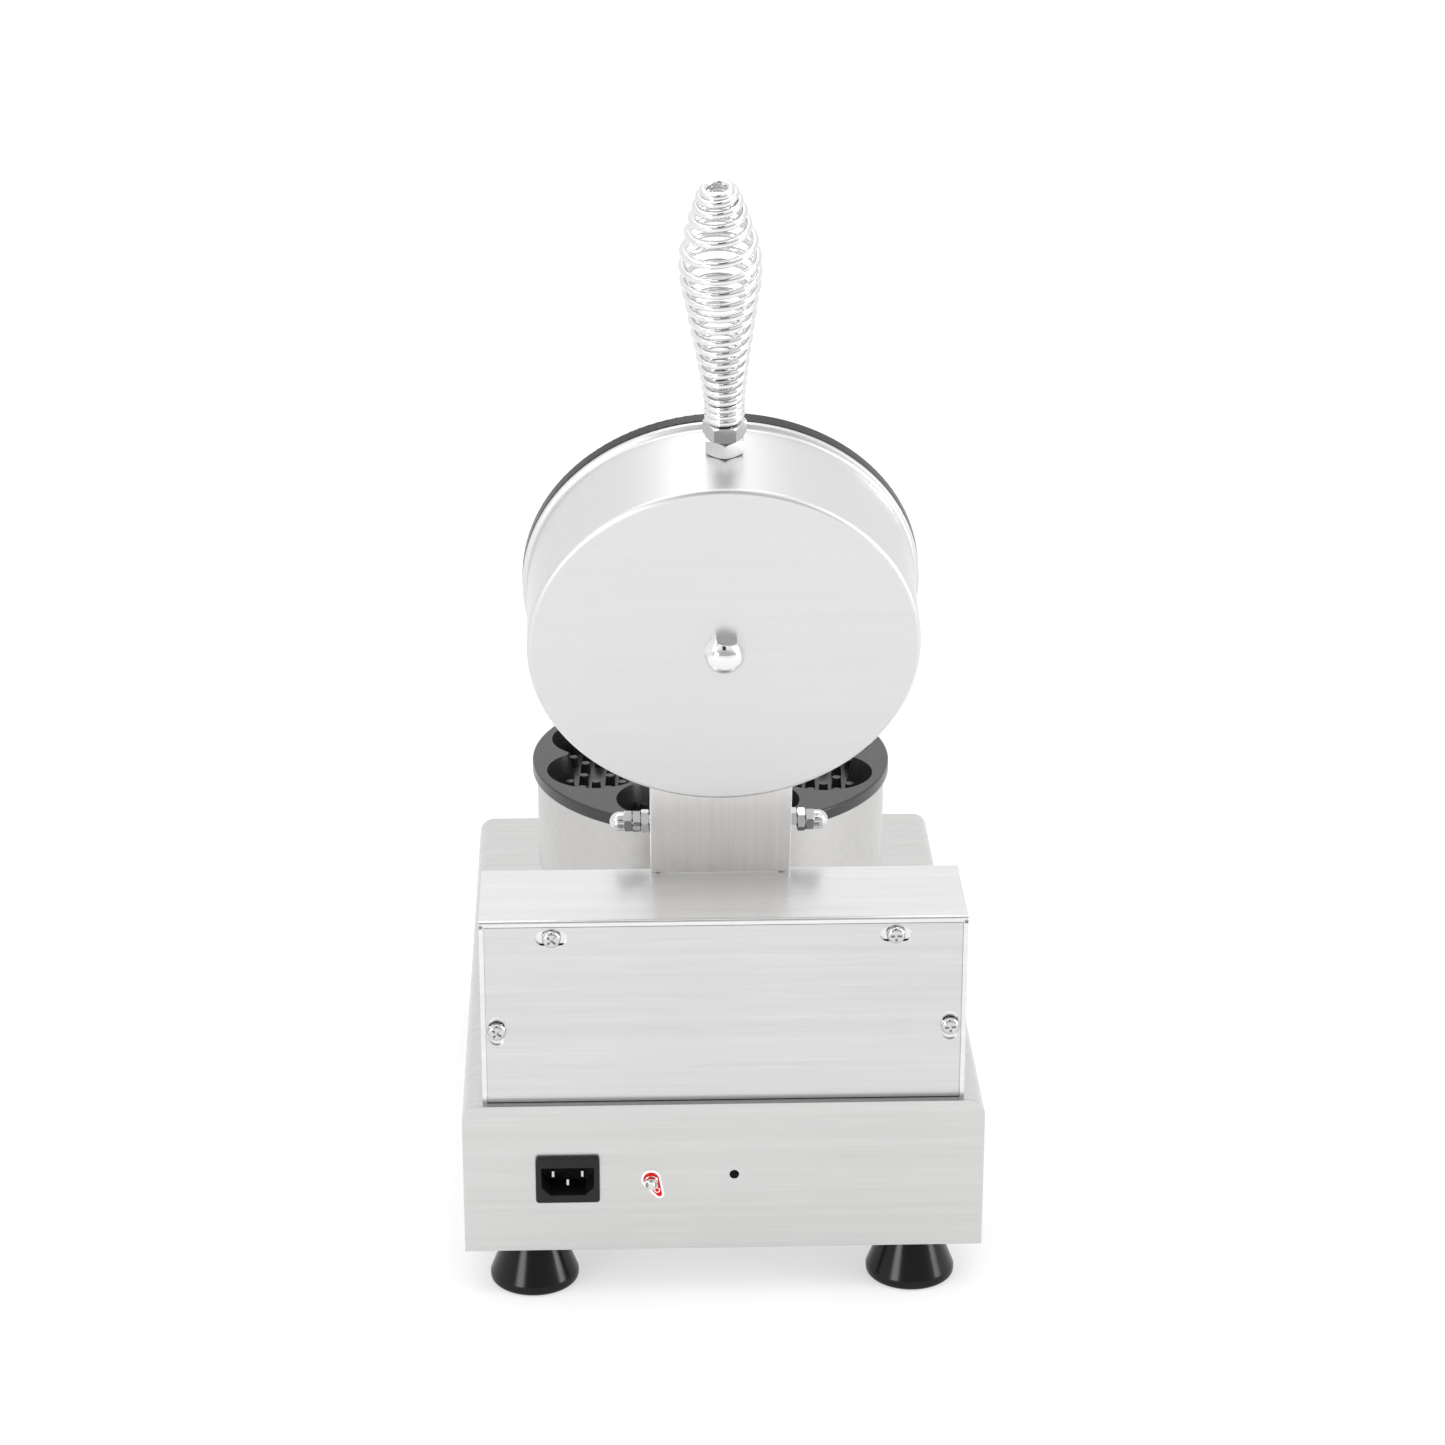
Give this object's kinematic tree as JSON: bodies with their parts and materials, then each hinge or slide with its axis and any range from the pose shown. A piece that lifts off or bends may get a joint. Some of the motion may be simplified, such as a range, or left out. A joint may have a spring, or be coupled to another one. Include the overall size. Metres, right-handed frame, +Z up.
{
  "type": "donut maker",
  "caption": "Counter-top mould baker: round pan on a box base, hinged round lid with a coil handle, wiring box and inlet behind.",
  "frame": {"origin": "on the table under the middle of the whole outline, with the lid open", "axes": "+Z up, the control panel faces -Y, the power inlet faces +Y, +X to the right seen from the front"},
  "size_m": [0.25, 0.4066, 0.5596],
  "materials": {
    "panel_steel": "fine brushed stainless sheet",
    "pan_steel": "satin deep-drawn stainless",
    "bright_hardware": "nickel-plated, bright",
    "handle_wire": "polished chrome wire",
    "nonstick_plate": "cast, black non-stick coating",
    "foot_rubber": "glossy black",
    "black_plastic": "fine moulded texture",
    "pin_metal": "nickel-plated brass",
    "earth_label": "red with a white edge",
    "terminal_plastic": "cream moulding",
    "element_sheath": "heat-tinted sheath",
    "wool": "ceramic fibre felt",
    "red_lens": "translucent red",
    "green_lens": "translucent green"
  },
  "bodies": {
    "base": {"base_shell": "panel_steel", "rear_panel": "panel_steel", "front_panel": "panel_steel", "bottom_plate": "panel_steel", "hinge_box_shell": "panel_steel", "hinge_box_cover": "panel_steel", "hinge_bracket": "panel_steel", "pan_pedestal": "panel_steel", "lower_pan": "pan_steel", "cover_screws": "bright_hardware", "bottom_screws": "bright_hardware", "foot_bolts": "bright_hardware", "bracket_screws": "bright_hardware", "earth_stud": "bright_hardware", "earth_washer": "bright_hardware", "earth_nut": "bright_hardware", "hinge_bolt": "bright_hardware", "hinge_spacer": "bright_hardware", "hinge_nuts": "bright_hardware", "hinge_cap_nuts": "bright_hardware", "lower_plate_bolt": "bright_hardware", "lower_plate_nut": "bright_hardware", "lower_mould_plate": "nonstick_plate", "foot_front_left": "foot_rubber", "foot_front_right": "foot_rubber", "foot_rear_left": "foot_rubber", "foot_rear_right": "foot_rubber", "power_inlet": "black_plastic", "switch_housing": "black_plastic", "thermostat": "black_plastic", "timer": "black_plastic", "inlet_pins": "pin_metal", "earth_tag": "earth_label", "terminal_block": "terminal_plastic", "lower_heating_element": "element_sheath", "sensor_bulb": "element_sheath", "lower_insulation": "wool", "power_lamp": "red_lens", "heat_lamp": "green_lens"},
    "lid": {"lid_pan": "pan_steel", "lid_bracket": "panel_steel", "upper_mould_plate": "nonstick_plate", "upper_heating_element": "element_sheath", "upper_insulation": "wool", "lid_bolt": "bright_hardware", "lid_cap_nut": "bright_hardware", "handle_stud": "bright_hardware", "handle_nuts": "bright_hardware", "handle_coil": "handle_wire"},
    "thermostat_knob": {"thermostat_dial": "black_plastic"},
    "timer_knob": {"timer_dial": "black_plastic"},
    "rocker": {"power_rocker": "black_plastic"}
  },
  "joints": [
    {"name": "lid_hinge", "type": "hinge", "parent": "base", "child": "lid", "pos_m": [0, 0.078, 0.215], "axis": [1, 0, 0], "range_deg": [0, 108]},
    {"name": "thermostat_turn", "type": "hinge", "parent": "base", "child": "thermostat_knob", "pos_m": [-0.068, -0.188, 0.06], "axis": [0, 1, 0], "range_deg": [0, 270]},
    {"name": "timer_turn", "type": "hinge", "parent": "base", "child": "timer_knob", "pos_m": [0.068, -0.188, 0.06], "axis": [0, 1, 0], "range_deg": [0, 300]},
    {"name": "rocker_tilt", "type": "hinge", "parent": "base", "child": "rocker", "pos_m": [0, -0.185, 0.06], "axis": [1, 0, 0], "range_deg": [0, 20]}
  ]
}
